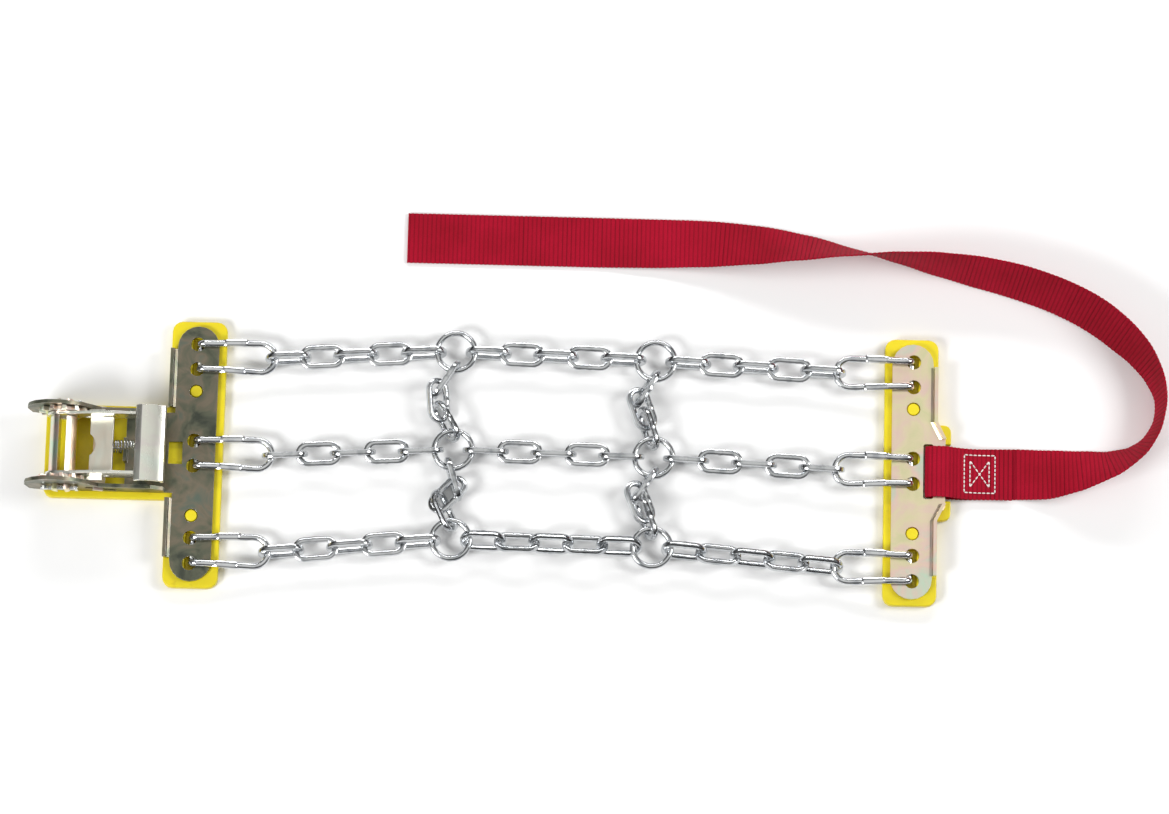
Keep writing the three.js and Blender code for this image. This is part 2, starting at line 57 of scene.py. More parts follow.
# Driving sizes of the chain, as the CAD has them, in metres.
WIRE = 4.0 * MM
LINK_HOLE = 23.5 * MM
LINK_BOW = 6.5 * MM
PITCH = 23.0 * MM
RING_STEP = 22.05 * MM
RING_RADIUS = 13.0 * MM
LAP_WIRE = 4.6 * MM
LAP_REACH = 53.1 * MM
CHAIN_Z = 8.6 * MM
CROSSBAR_X = 1.5 * MM
CROSSBAR_Z = 4.05 * MM
HOLE_SPREAD = 8.7 * MM
FIRST_LINK = 61.85 * MM
ROW_Y = (67.0 * MM, 0.0, -67.0 * MM)
RING_SHIFT = ((8, 7, 12), (5, 5, 10))
STRAP_WIDTH = 35.0 * MM
STRAP_THICK = 1.8 * MM
RING_X = (centre_of("ring_1_middle").x, centre_of("ring_2_middle").x)
LEFT_X = RING_X[0] - FIRST_LINK - 4 * PITCH - RING_STEP
RIGHT_X = RING_X[1] + RING_STEP + 4 * PITCH + FIRST_LINK


# ---- node materials -------------------------------------------------------------------


class Paint:
    """A node tree with short ways to add and link nodes."""

    def __init__(self, name):
        self.material = bpy.data.materials.new(name)
        self.material.use_nodes = True
        self.tree = self.material.node_tree
        self.shader = self.tree.nodes["Principled BSDF"]
        coords = self.tree.nodes.new("ShaderNodeTexCoord")
        self.place = coords.outputs["Object"]

    def link(self, a, b):
        self.tree.links.new(a, b)

    def set(self, **values):
        for key, value in values.items():
            self.shader.inputs[key.replace("_", " ")].default_value = value

    def noise(self, scale, detail=3.0, stretch=None, distortion=0.0):
        node = self.tree.nodes.new("ShaderNodeTexNoise")
        node.inputs["Scale"].default_value = scale
        node.inputs["Detail"].default_value = detail
        node.inputs["Distortion"].default_value = distortion
        place = self.place
        if stretch:
            mapping = self.tree.nodes.new("ShaderNodeMapping")
            mapping.inputs["Scale"].default_value = stretch
            self.link(self.place, mapping.inputs["Vector"])
            place = mapping.outputs["Vector"]
        self.link(place, node.inputs["Vector"])
        return node.outputs["Fac"]

    def ramp(self, value, stops):
        node = self.tree.nodes.new("ShaderNodeValToRGB")
        elements = node.color_ramp.elements
        while len(elements) < len(stops):
            elements.new(0.5)
        for element, (at, colour) in zip(elements, stops):
            element.position = at
            element.color = (*colour, 1) if len(colour) == 3 else colour
        self.link(value, node.inputs["Fac"])
        return node.outputs["Color"]

    def mix(self, factor, a, b, blend="MIX"):
        node = self.tree.nodes.new("ShaderNodeMix")
        node.data_type = "RGBA"
        node.blend_type = blend
        for socket, value in ((node.inputs[0], factor), (node.inputs[6], a), (node.inputs[7], b)):
            if hasattr(value, "node"):
                self.link(value, socket)
            else:
                socket.default_value = value
        return node.outputs[2]

    def span(self, value, low, high):
        node = self.tree.nodes.new("ShaderNodeMapRange")
        node.inputs["To Min"].default_value = low
        node.inputs["To Max"].default_value = high
        self.link(value, node.inputs["Value"])
        return node.outputs["Result"]

    def bump(self, value, strength, distance):
        node = self.tree.nodes.new("ShaderNodeBump")
        node.inputs["Strength"].default_value = strength
        node.inputs["Distance"].default_value = distance
        self.link(value, node.inputs["Height"])
        self.link(node.outputs["Normal"], self.shader.inputs["Normal"])

    def written(self, name):
        """A value written on the mesh."""
        node = self.tree.nodes.new("ShaderNodeAttribute")
        node.attribute_name = name
        return node.outputs["Fac"]


def wire_zinc(name, base, dark):
    p = Paint(name)
    p.set(Metallic=1.0)
    cloud = p.noise(110, 3)
    colour = p.ramp(cloud, [(0.3, dark), (0.5, base), (0.8, tuple(min(1, c * 1.08) for c in base))])
    p.link(colour, p.shader.inputs["Base Color"])
    p.link(p.span(p.noise(240, 2), 0.16, 0.27), p.shader.inputs["Roughness"])
    p.bump(p.noise(420, 2), 0.1, 0.0001)
    return p.material


def sheet_zinc(name, stops, roughness, cloud_scale):
    """Passivated zinc on pressed sheet: cloudy colour, fine rolling lines, and a painted highlight on the
    rounded edges.
    """
    p = Paint(name)
    p.set(Metallic=1.0)
    cloud = p.noise(cloud_scale, 5, distortion=1.2)
    colour = p.ramp(cloud, stops)
    # Painted highlight: the faces that round the edges take a bright pale colour.
    bright = p.mix(p.written("edge_highlight"), colour, (0.80, 0.78, 0.74, 1))
    p.link(bright, p.shader.inputs["Base Color"])
    p.link(p.span(p.noise(300, 4, stretch=(1, 0.15, 1)), roughness - 0.1, roughness + 0.12),
           p.shader.inputs["Roughness"])
    p.bump(p.noise(700, 4, stretch=(1, 0.2, 1)), 0.2, 0.0001)
    return p.material


def yellow_rubber():
    p = Paint("yellow_rubber")
    shade = p.ramp(p.noise(35, 4), [(0.3, (0.76, 0.60, 0.003)), (0.7, (0.88, 0.71, 0.007))])
    grime = p.ramp(p.noise(160, 6), [(0.62, (1, 1, 1)), (0.85, (0.75, 0.68, 0.4))])
    p.link(p.mix(1.0, shade, grime, "MULTIPLY"), p.shader.inputs["Base Color"])
    p.link(p.span(p.noise(210, 3), 0.34, 0.55), p.shader.inputs["Roughness"])
    p.set(Subsurface_Weight=0.06)
    p.bump(p.noise(800, 5), 0.25, 0.00015)
    return p.material


def red_webbing():
    p = Paint("red_webbing")
    yarn = p.noise(1500, 3, stretch=(1, 1, 1))
    tone = p.ramp(p.noise(28, 4), [(0.3, (0.34, 0.002, 0.016)), (0.7, (0.45, 0.003, 0.026))])
    fleck = p.ramp(yarn, [(0.35, (0.8, 0.8, 0.8)), (0.65, (1.0, 1.0, 1.0))])
    # Painted shade: the grooves between the ribs are darkened, down to 0.42 of the colour at a groove's
    # bottom.
    rib = p.ramp(p.written("rib"), [(0.15, (0.42, 0.4, 0.42)), (0.75, (1.0, 1.0, 1.0))])
    groove_shaded = p.mix(1.0, p.mix(1.0, tone, fleck, "MULTIPLY"), rib, "MULTIPLY")
    p.link(groove_shaded, p.shader.inputs["Base Color"])
    p.set(Roughness=0.8, Specular_IOR_Level=0.15)
    p.bump(yarn, 0.5, 0.00025)
    return p.material


def white_thread():
    p = Paint("white_thread")
    p.link(p.ramp(p.noise(900, 2), [(0.3, (0.72, 0.66, 0.62)), (0.7, (0.95, 0.92, 0.9))]),
           p.shader.inputs["Base Color"])
    p.set(Roughness=0.7, Sheen_Weight=0.3)
    p.bump(p.noise(2400, 2), 0.4, 0.0001)
    return p.material


MATERIALS = {
    "chain_zinc": wire_zinc("chain_zinc", (0.62, 0.635, 0.65), (0.40, 0.42, 0.44)),
    "link_zinc": wire_zinc("link_zinc", (0.72, 0.735, 0.75), (0.50, 0.52, 0.55)),
    "green_zinc": sheet_zinc("green_zinc", [(0.3, (0.09, 0.10, 0.08)), (0.42, (0.17, 0.18, 0.13)),
                                            (0.56, (0.27, 0.23, 0.17)), (0.7, (0.17, 0.21, 0.17))], 0.38, 48),
    "handle_zinc": sheet_zinc("handle_zinc", [(0.25, (0.86, 0.78, 0.76)), (0.5, (0.90, 0.90, 0.80)),
                                              (0.75, (0.84, 0.92, 0.82))], 0.28, 26),
    "gold_zinc": sheet_zinc("gold_zinc", [(0.30, (0.80, 0.79, 0.45)), (0.42, (0.92, 0.82, 0.54)),
                                          (0.54, (0.95, 0.72, 0.62)), (0.68, (0.68, 0.84, 0.66))], 0.32, 26),
    "pawl_zinc": sheet_zinc("pawl_zinc", [(0.3, (0.90, 0.80, 0.66)), (0.7, (0.86, 0.86, 0.74))], 0.36, 40),
    "yellow_pad": yellow_rubber(),
    "red_webbing": red_webbing(),
    "thread": white_thread(),
}


# ---- mesh helpers ---------------------------------------------------------------------


EDGE_FACE = 0.2 * MM  # area over outline, under which a face is part of a rounded edge


def narrow(mesh, face):
    """Whether a face is one of the thin ones that round an edge."""
    corners = [mesh.vertices[v].co for v in face.vertices]
    outline = sum((a - b).length for a, b in zip(corners, corners[1:] + corners[:1]))
    return face.area / outline < EDGE_FACE


def show(name, mesh, material, body, smooth=40, flat_faces=False):
    piece = bpy.data.objects.new(name, mesh)
    bpy.context.scene.collection.objects.link(piece)
    mesh.materials.append(MATERIALS[material])
    mesh.set_sharp_from_angle(angle=math.radians(smooth))
    for face in mesh.polygons:
        face.use_smooth = True
    if flat_faces:
        # Painted highlight: the thin faces that round the edges are marked, for the sheet materials to paint
        # bright.
        edge_highlight = mesh.attributes.new("edge_highlight", "FLOAT", "FACE")
        for face, value in zip(mesh.polygons, edge_highlight.data):
            value.value = 1.0 if narrow(mesh, face) else 0.0
        even = piece.modifiers.new("even", "WEIGHTED_NORMAL")
        even.keep_sharp = True
        even.weight = 100
    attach(piece, body)
    return piece


def skin(name, rings, closed):
    """A mesh through rings of points, closed round or capped at both ends."""
    sides = len(rings[0])
    count = len(rings)
    faces = []
    for i in range(count if closed else count - 1):
        here, after = i * sides, (i + 1) % count * sides
        for k in range(sides):
            turn = (k + 1) % sides
            faces.append((here + k, here + turn, after + turn, after + k))
    if not closed:
        faces.append(tuple(reversed(range(sides))))
        faces.append(tuple(range((count - 1) * sides, count * sides)))
    mesh = bpy.data.meshes.new(name)
    mesh.from_pydata([p for ring in rings for p in ring], [], faces)
    tidy = bmesh.new()
    tidy.from_mesh(mesh)
    bmesh.ops.recalc_face_normals(tidy, faces=tidy.faces)
    tidy.to_mesh(mesh)
    tidy.free()
    return mesh


def squarish(angle, radius, power=3.2):
    """A point of a rounded square of half width radius."""
    c, s = math.cos(angle), math.sin(angle)
    reach = radius / (abs(c) ** power + abs(s) ** power) ** (1 / power)
    return reach * c, reach * s


def wire_loop(name, points, centre, size, power=3.2, sides=14):
    """A closed loop of drawn wire. size(i) gives the half thickness across and along the loop's plane."""
    rings = []
    for i, p in enumerate(points):
        ahead = (points[(i + 1) % len(points)] - p).normalized()
        behind = (p - points[i - 1]).normalized()
        along = (ahead + behind).normalized()
        out = p - centre
        out = (out - along * out.dot(along)).normalized()
        side = along.cross(out)
        wide, tall = size(i)
        ring = []
        for k in range(sides):
            a, b = squarish(2 * math.pi * (k + 0.5) / sides, 1.0, power)
            ring.append(p + out * a * wide + side * b * tall)
        rings.append(ring)
    return skin(name, rings, True)


def arc(cx, cy, radius, start, end, steps):
    angles = [math.radians(start + (end - start) * i / steps) for i in range(steps + 1)]
    return [(cx + radius * math.cos(a), cy + radius * math.sin(a)) for a in angles]


def straight(a, b, steps):
    """Points between a and b, without the ends."""
    return [tuple(a[k] + (b[k] - a[k]) * i / steps for k in range(len(a))) for i in range(1, steps)]


# ---- chain ----------------------------------------------------------------------------


WELD_SWELL = 0.22 * MM  # the butt weld stands this far out of the wire
WELD_REACH = 1.1 * MM
WELD_NECK = 0.12 * MM  # and the clamped wire beside it is this much thinner
WELD_NECK_AT = 2.6 * MM
WELD_NECK_REACH = 0.8 * MM


def link_mesh(name, weld_side=1):
    """A link along X: square-shouldered wire, with its butt weld in the middle of one long side."""
    half = LINK_HOLE / 2 - (LINK_BOW - WIRE / 2)
    right = arc(half, 0, LINK_BOW, -90, 90, 12)
    left = arc(-half, 0, LINK_BOW, 90, 270, 12)
    flat = right + straight(right[-1], left[0], 12) + left + straight(left[-1], right[0], 12)
    points = [Vector((x, y, 0)) for x, y in flat]

    def size(i):
        p = points[i]
        near = abs(p.x) if p.y * weld_side > 0 else 1
        weld = WELD_SWELL * math.exp(-((near / WELD_REACH) ** 2))
        neck = WELD_NECK * math.exp(-(((near - WELD_NECK_AT) / WELD_NECK_REACH) ** 2))
        return WIRE / 2 + weld - neck, WIRE / 2 + weld - neck

    return wire_loop(name, points, Vector((0, 0, 0)), size)


def placed(mesh, place, heading, roll):
    """Turns a mesh about its own length by roll and to its heading, in degrees, and moves it."""
    turn = Matrix.Rotation(math.radians(heading), 4, "Z") @ Matrix.Rotation(math.radians(roll), 4, "X")
    mesh.transform(Matrix.Translation(place) @ turn)
    return mesh


STATIONS = [[(LEFT_X + LAP_REACH, y), (RING_X[0], y + RING_SHIFT[0][row] * MM),
             (RING_X[1], y + RING_SHIFT[1][row] * MM), (RIGHT_X - LAP_REACH, y)]
            for row, y in enumerate(ROW_Y)]
SPAN_START = (LEFT_X + FIRST_LINK, RING_X[0] + RING_STEP, RING_X[1] + RING_STEP)
ROLLS = (((78, -4), (80, 3), (82, 2)), ((101, 3), (99, -2), (98, 4)), ((76, -8), (54, -36), (62, -32)))
NODE_OF_LINK = "aabcc"


def make_rows():
    for row, row_name in enumerate(ROWS):
        for span in range(3):
            (x0, y0), (x1, y1) = STATIONS[row][span:span + 2]
            slope = (y1 - y0) / (x1 - x0)
            for i, part in enumerate(NODE_OF_LINK):
                x = SPAN_START[span] + i * PITCH
                place = (x, y0 + slope * (x - x0), CHAIN_Z)
                name = f"link_{row_name}_{span + 1}_{i + 1}"
                mesh = placed(link_mesh(name, 1 if i % 4 < 2 else -1), place, math.degrees(math.atan(slope)),
                              ROLLS[row][span][i % 2])
                piece = show(name, mesh, "chain_zinc", f"span_{span + 1}{part}")
                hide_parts(f"chain_{row_name}_{span + 1}{part}")


def make_rings():
    for column in range(2):
        for row, row_name in enumerate(ROWS):
            points = [Vector((x, y, 0)) for x, y in arc(0, 0, RING_RADIUS, 0, 355, 71)]
            weld = math.radians((250, 290, 265)[row])

            def size(i):
                away = abs(math.atan2(points[i].y, points[i].x) % (2 * math.pi) - weld)
                swell = 0.2 * MM * math.exp(-((away / 0.09) ** 2))
                return WIRE / 2 + swell, WIRE / 2 + swell

            name = f"fine_ring_{column + 1}_{row_name}"
            mesh = wire_loop(name, points, Vector((0, 0, 0)), size, power=2.1)
            x, y = STATIONS[row][column + 1]
            piece = show(name, placed(mesh, (x, y, CHAIN_Z), 0, 0), "chain_zinc", f"ring_column_{column + 1}")
            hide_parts(f"ring_{column + 1}_{row_name}")


CROSS_BOW = (((-10, -9), (4, -6)), ((-9, -5), (-9, -5)))
CROSS_ROLL = (((86, -32, 62), (84, 24, -58)), ((74, -20, 66), (78, -24, 66)))
RING_HOOK = 8 * MM


def make_cross_chains():
    for column in range(2):
        for half, half_name in enumerate(("upper", "lower")):
            top_x, top_y = STATIONS[half][column + 1]
            low_x, low_y = STATIONS[half + 1][column + 1]
            top = Vector((top_x - 2 * MM, top_y - RING_RADIUS + 0.2 * MM, CHAIN_Z))
            low = Vector((low_x - 1.5 * MM, low_y + RING_RADIUS - 0.6 * MM, CHAIN_Z))
            knots = [top, top.lerp(low, 0.36), top.lerp(low, 0.64), low]
            knots[1].x += CROSS_BOW[column][half][0] * MM
            knots[2].x += CROSS_BOW[column][half][1] * MM
            for i, roll in enumerate(CROSS_ROLL[column][half]):
                along = (knots[i + 1] - knots[i]).normalized()
                middle = knots[1].lerp(knots[2], 0.5)
                place = (knots[0] + along * RING_HOOK, middle, knots[3] - along * RING_HOOK)[i]
                name = f"cross_link_{column + 1}_{half_name}_{i + 1}"
                mesh = placed(link_mesh(name), place, math.degrees(math.atan2(along.y, along.x)), roll)
                piece = show(name, mesh, "chain_zinc", f"ring_column_{column + 1}")
                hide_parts(f"cross_chain_{column + 1}_{half_name}")


def rounded_path(corners, steps=5):
    """The points of a closed path with each corner (point, radius) turned into a curve."""
    points = []
    for i, (corner, radius) in enumerate(corners):
        before, after = corners[i - 1][0], corners[(i + 1) % len(corners)][0]
        a = corner + (before - corner).normalized() * radius
        b = corner + (after - corner).normalized() * radius
        for k in range(steps + 1):
            t = k / steps
            points.append(a * (1 - t) ** 2 + corner * 2 * t * (1 - t) + b * t * t)
        gap = (after - b).length - corners[(i + 1) % len(corners)][1]
        extra = int(gap / (3 * MM))
        end = after + (corner - after).normalized() * corners[(i + 1) % len(corners)][1]
        points += [b.lerp(end, (k + 1) / (extra + 1)) for k in range(extra)]
    return points


LEG_FROM, LEG_TO, LEG_EASE = 17 * MM, 38 * MM, 5.5 * MM  # where a leg is pressed flatter
LEG_WIDER, LEG_TALLER, LEG_PRESSED = 0.2 * MM, 0.1 * MM, 0.13 * MM
BOW_RADIUS = 10 * MM
BOW_FROM, BOW_EASE = 42 * MM, 4 * MM  # the wire is at its plain size from here to the bow
CHAIN_LIFT = 0.3 * MM  # the bow's wire lies this much over the chain's middle
LEG_TOP = 7.8 * MM  # a leg's height over the crossbar, on the plate
LAP_CORNER = 2.3  # how square the wire's section is


def lap_link(name, flip):
    """A long link: bow over the chain's end, legs on the plate, crossbar under it."""
    bow_x, bow_z = LAP_REACH - BOW_RADIUS, CHAIN_Z + CHAIN_LIFT - CROSSBAR_Z
    # Corners of one leg as x, y, z and the radius in millimetres that rounds each.
    half = [(CROSSBAR_X, HOLE_SPREAD, 0, 2.6), (CROSSBAR_X, HOLE_SPREAD, LEG_TOP, 4),
            (15 * MM, 9 * MM, 7.7 * MM, 3), (30 * MM, 9.6 * MM, 6.3 * MM, 5), (bow_x, BOW_RADIUS, bow_z, 1)]
    corners = [(Vector(c[:3]), c[3] * MM) for c in half]
    bow = [(Vector((x, y, bow_z)), 0.4 * MM) for x, y in arc(bow_x, 0, BOW_RADIUS, 80, -80, 16)]
    back = [(Vector((c[0], -c[1], c[2])), c[3] * MM) for c in reversed(half)]
    points = rounded_path(corners + bow + back, 4)

    def size(i):
        p = points[i]
        rise = max(0.0, min(1.0, (p.x - LEG_FROM) / LEG_EASE))
        fall = max(0.0, min(1.0, (LEG_TO - p.x) / LEG_EASE))
        on_leg = rise * fall
        before_bow = max(0.0, min(1.0, (BOW_FROM - p.x) / BOW_EASE))
        wide = LAP_WIRE / 2 + LEG_WIDER * before_bow - LEG_PRESSED * on_leg
        return wide, LAP_WIRE / 2 + LEG_TALLER * before_bow

    middle = Vector((25 * MM, 0, 6 * MM))
    loop = wire_loop(name, points, middle, size, power=LAP_CORNER)
    plies = [ply_mesh(side) for side in (1, -1)]
    joined = bmesh.new()
    for mesh in (loop, *plies):
        joined.from_mesh(mesh)
    joined.to_mesh(loop)
    joined.free()
    if flip:
        loop.transform(Matrix.Rotation(math.pi, 4, "Z"))
    return loop


PLY_FROM, PLY_LENGTH = 15, 19  # millimetres along the leg
PLY_OUT = 0.25 * MM  # the second ply lies this far outward of the leg
PLY_SLANT = 0.5 * MM
PLY_LIFT = 0.75 * MM
PLY_CORNER = 3.4  # how square its section is
PLY_STEPS, PLY_SIDES = 26, 14


def ply_mesh(side):
    """The flattened second ply pressed on a leg: thin at the hole, with a slanted cut end."""
    rings = []
    for i in range(PLY_STEPS + 1):
        t = i / PLY_STEPS
        x = (PLY_FROM + PLY_LENGTH * t) * MM
        y = side * (9 + 0.75 * t) * MM
        z = (7.75 - 1.75 * t) * MM
        fade = min(1, t / 0.25) * min(1, (1 - t) / 0.12 + 0.35)
        wide, tall = (2.05 + 0.35 * fade) * MM, (1.3 + 0.75 * fade) * MM
        ring = []
        for k in range(PLY_SIDES):
            a, b = squarish(2 * math.pi * (k + 0.5) / PLY_SIDES, 1.0, PLY_CORNER)
            across = y + side * PLY_OUT + a * wide
            ring.append(Vector((x + b * side * PLY_SLANT, across, z + PLY_LIFT * fade + b * tall)))
        rings.append(ring)
    return skin("ply", rings, False)


def make_lap_links():
    for row, row_name in enumerate(ROWS):
        for side, x, body in (("left", LEFT_X, "lap_left"), ("right", RIGHT_X, "lap_right")):
            name = f"fine_lap_link_{side}_{row_name}"
            mesh = lap_link(name, side == "right")
            mesh.transform(Matrix.Translation((x, ROW_Y[row], CROSSBAR_Z)))
            piece = show(name, mesh, "link_zinc", body)
            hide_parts(f"lap_link_{side}_{row_name}")


# ---- pressed and machined pieces: the CAD shape with its edges broken -------------------


def refine(node, material, body, width, segments=2, smooth=35):
    """A finer piece in a CAD node's place: flat faces made whole, then every edge rounded."""
    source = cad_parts[node]
    work = bmesh.new()
    work.from_mesh(source.data)
    bmesh.ops.remove_doubles(work, verts=work.verts, dist=1e-6)
    bmesh.ops.dissolve_limit(work, angle_limit=math.radians(1), verts=work.verts, edges=work.edges)
    sharp = [e for e in work.edges if len(e.link_faces) == 2 and e.calc_face_angle(0) > math.radians(28)]
    bmesh.ops.bevel(work, geom=sharp, offset=width, offset_type="OFFSET", segments=segments, profile=0.6,
                    affect="EDGES", clamp_overlap=True)
    mesh = bpy.data.meshes.new(f"fine_{node}")
    bmesh.ops.recalc_face_normals(work, faces=work.faces)
    work.to_mesh(mesh)
    work.free()
    piece = show(f"fine_{node}", mesh, material, body, smooth, flat_faces=True)
    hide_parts(node)
    return piece


def make_hardware():
    refine("ratchet_plate", "green_zinc", "ratchet_frame", 0.45 * MM)
    refine("strap_plate", "gold_zinc", "strap_end", 0.45 * MM)
    refine("ratchet_pad", "yellow_pad", "ratchet_frame", 0.9 * MM, 3)
    refine("strap_pad", "yellow_pad", "strap_end", 0.9 * MM, 3)
    refine("handle", "handle_zinc", "handle", 0.5 * MM)
    refine("drive_pawl", "pawl_zinc", "drive_pawl", 0.35 * MM)
    refine("lock_pawl", "gold_zinc", "lock_pawl", 0.35 * MM)
    for half in ("front", "rear"):
        refine(f"spool_half_{half}", "gold_zinc", "spool", 0.5 * MM)
    for half in ("upper", "lower"):
        refine(f"gear_{half}", "gold_zinc", "spool", 0.25 * MM)
        refine(f"cotter_pin_{half}", "link_zinc", "spool", 0.5 * MM, 3)


COIL_STEPS = 18  # points to a turn
COIL_SIDES = 8
END_CLOSING = 0.035  # how far the end turns draw together, as a part of the length


def coil(name, start, end, radius, wire, turns, body, node):
    """A compression spring between two points, with its end turns closed."""
    along = end - start
    side = along.cross(Vector((0, 1, 0))).normalized()
    up = along.cross(side).normalized()
    steps = turns * COIL_STEPS
    centres = []
    for i in range(steps + 1):
        t = i / steps
        eased = t - END_CLOSING * math.sin(2 * math.pi * t)
        turn = 2 * math.pi * turns * t
        centres.append(start + along * eased + side * radius * math.cos(turn) + up * radius * math.sin(turn))
    rings = []
    for i, p in enumerate(centres):
        forward = (centres[min(steps, i + 1)] - centres[max(0, i - 1)]).normalized()
        out = (p - start - along.normalized() * (p - start).dot(along.normalized())).normalized()
        out = (out - forward * out.dot(forward)).normalized()
        third = forward.cross(out)
        rings.append([p + (out * math.cos(a) + third * math.sin(a)) * wire
                      for a in (2 * math.pi * k / COIL_SIDES for k in range(COIL_SIDES))])
    piece = show(name, skin(name, rings, False), "link_zinc", body)
    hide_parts(node)


SPOOL = Vector((LEFT_X - 87 * MM, 0, 25 * MM))
DRIVE_ANGLE, LOCK_ANGLE = 10, -20  # degrees above +X that the pawls slide along
COIL_TURNS = 7


def slide_point(angle, reach):
    return SPOOL + Vector((math.cos(math.radians(angle)), 0, math.sin(math.radians(angle)))) * reach * MM


def make_springs():
    coil("drive_coil", slide_point(DRIVE_ANGLE, 35.8), slide_point(DRIVE_ANGLE, 49.2), 2.75 * MM, 0.5 * MM,
         COIL_TURNS, "handle", "drive_spring")
    coil("lock_coil", slide_point(LOCK_ANGLE, 30.8), slide_point(LOCK_ANGLE, 41.2), 1.95 * MM, 0.42 * MM,
         COIL_TURNS, "ratchet_frame", "lock_spring")


# ---- strap ----------------------------------------------------------------------------
# The webbing's route, as in the CAD: x, y and height above its resting height, in
# millimetres from the left hole line, and the tilt in degrees of its upper face.
STRAP_ROUTE = [
    (556, 0, 2.3, 0), (542, 0, 2.3, 0), (528, 0, 2.6, 0), (518, 0, 6.0, 0), (511.5, 0, 9.9, 0),
    (506, 0, 10.9, 0), (499.6, 0, 9.6, 0), (496.9, 0, 6.8, 0), (499.8, 0, 3.8, 0), (506.5, 0, 2.9, 0),
    (514, 0, 1.6, 0), (524, 0, 0.1, 0), (540, 0.5, 0, 0), (560, 1, 0, 0), (580, 1, 0, 8),
    (601, 3, 0, 30), (622, 7.5, 0, 52), (638, 15.5, 0, 68), (648, 26, 0, 78), (654, 40, 0, 84),
    (655, 55, 0, 84), (650, 70, 0, 78), (641, 84, 0, 70), (628, 97, 0, 63), (611, 110, 0, 60),
    (590, 121, 0, 60), (562, 131, 0, 61), (532, 138, 0, 66), (503, 143, 0, 77), (475, 147, 0, 92),
    (444, 150, 0, 112), (412, 153, 0, 133), (380, 155, 0, 152), (345, 156, 0, 168), (308, 156, 0, 176),
    (270, 156, 0, 180), (205, 156, 0, 180), (140, 156, 0, 180),
]
FLAT_POINTS = 12  # the first points, where the webbing keeps its width across the chain
RIB = 3.0 * MM  # from one cross rib of the weave to the next
GROOVE = 0.6  # the webbing's thickness between two ribs, as a part of its full one
SCALLOP = 0.35 * MM  # how far its edges draw in between two ribs
ACROSS_STEPS = 8
STRAP_CLEAR = 0.1 * MM  # between the strap and what it lies on


def smooth_route():
    """Closely spaced (centre, tilt, flat) along the route, from centripetal curves through its points."""
    knots = [Vector((LEFT_X / MM + x, y, lift)) for x, y, lift, _ in STRAP_ROUTE]
    tilts = [t for *_, t in STRAP_ROUTE]
    out = []
    for i in range(len(knots) - 1):
        p = [knots[max(0, i - 1)], knots[i], knots[i + 1], knots[min(len(knots) - 1, i + 2)]]
        if i == 0:
            p[0] = p[1] * 2 - p[2]
        if i == len(knots) - 2:
            p[3] = p[2] * 2 - p[1]
        d = [max(1e-4, (p[k + 1] - p[k]).length) ** 0.5 for k in range(3)]
        m1 = (p[1] - p[0]) / d[0] - (p[2] - p[0]) / (d[0] + d[1]) + (p[2] - p[1]) / d[1]
        m2 = (p[2] - p[1]) / d[1] - (p[3] - p[1]) / (d[1] + d[2]) + (p[3] - p[2]) / d[2]
        steps = max(4, int((p[2] - p[1]).length / 0.5))
        for k in range(steps):
            t = k / steps
            h = (2 * t**3 - 3 * t**2 + 1, (t**3 - 2 * t**2 + t) * d[1],
                 -2 * t**3 + 3 * t**2, (t**3 - t**2) * d[1])
            point = p[1] * h[0] + m1 * h[1] + p[2] * h[2] + m2 * h[3]
            ease = t * t * (3 - 2 * t) * 0.3 + t * 0.7
            out.append((point * MM, tilts[i] + (tilts[i + 1] - tilts[i]) * ease, i < FLAT_POINTS))
    out.append((knots[-1] * MM, tilts[-1], False))
    return out


def make_strap():
    route = smooth_route()
    centres = []
    for point, tilt, _ in route:
        a = math.radians(tilt)
        rest = STRAP_WIDTH / 2 * math.sin(a) + STRAP_THICK / 2 * abs(math.cos(a)) + STRAP_CLEAR
        centres.append(point + Vector((0, 0, rest)))
    rings, ribs, path, travelled = [], [], [], 0.0
    for i, (centre, (_, tilt, flat)) in enumerate(zip(centres, route)):
        if i:
            travelled += (centre - centres[i - 1]).length
        along = (centres[min(len(centres) - 1, i + 1)] - centres[max(0, i - 1)]).normalized()
        across = Vector((0, 1, 0)) if flat else Vector((-along.y, along.x, 0)).normalized()
        face = along.cross(across) if flat else Vector((0, 0, 1))
        a = math.radians(tilt)
        top = across * math.sin(a) + face * math.cos(a)
        top = (top - along * top.dot(along)).normalized()
        edge = top.cross(along).normalized()
        rib = abs(math.sin(math.pi * travelled / RIB)) ** 0.6
        thick = STRAP_THICK / 2 * (GROOVE + (1 - GROOVE) * rib)
        wide = STRAP_WIDTH / 2 - SCALLOP * (1 - rib)
        ribs.append(rib)
        offsets = [-1 + 2 * k / ACROSS_STEPS for k in range(ACROSS_STEPS + 1)]
        upper = [(wide * o, thick * (1 - 0.45 * abs(o) ** 12)) for o in offsets]
        lower = [(wide * o, -thick * (1 - 0.45 * abs(o) ** 12)) for o in reversed(offsets)]
        rings.append([centre + edge * x + top * z for x, z in upper + lower])
        path.append(tuple(centre))
    mesh = skin("webbing", rings, False)
    # The rib height at each point, which the webbing's material turns into painted shade in the grooves.
    written = mesh.attributes.new("rib", "FLOAT", "POINT")
    for i, value in enumerate(written.data):
        value.value = ribs[i // len(rings[0])]
    strap = show("webbing", mesh, "red_webbing", "strap_end", 60)
    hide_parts("strap")
    stitching = make_stitching(centres)


SEAM_X = (LEFT_X + 523 * MM, LEFT_X + 544 * MM)  # the sewn rectangle
SEAM_HALF = 13 * MM
SEAM_INSET = 4 * MM  # from the rectangle to the bow tie inside it
STITCH, STITCH_GAP, THREAD = 3.0 * MM, 0.7 * MM, 0.45 * MM
TOP_PLY_POINTS = 95  # the first points of the route, over the bar


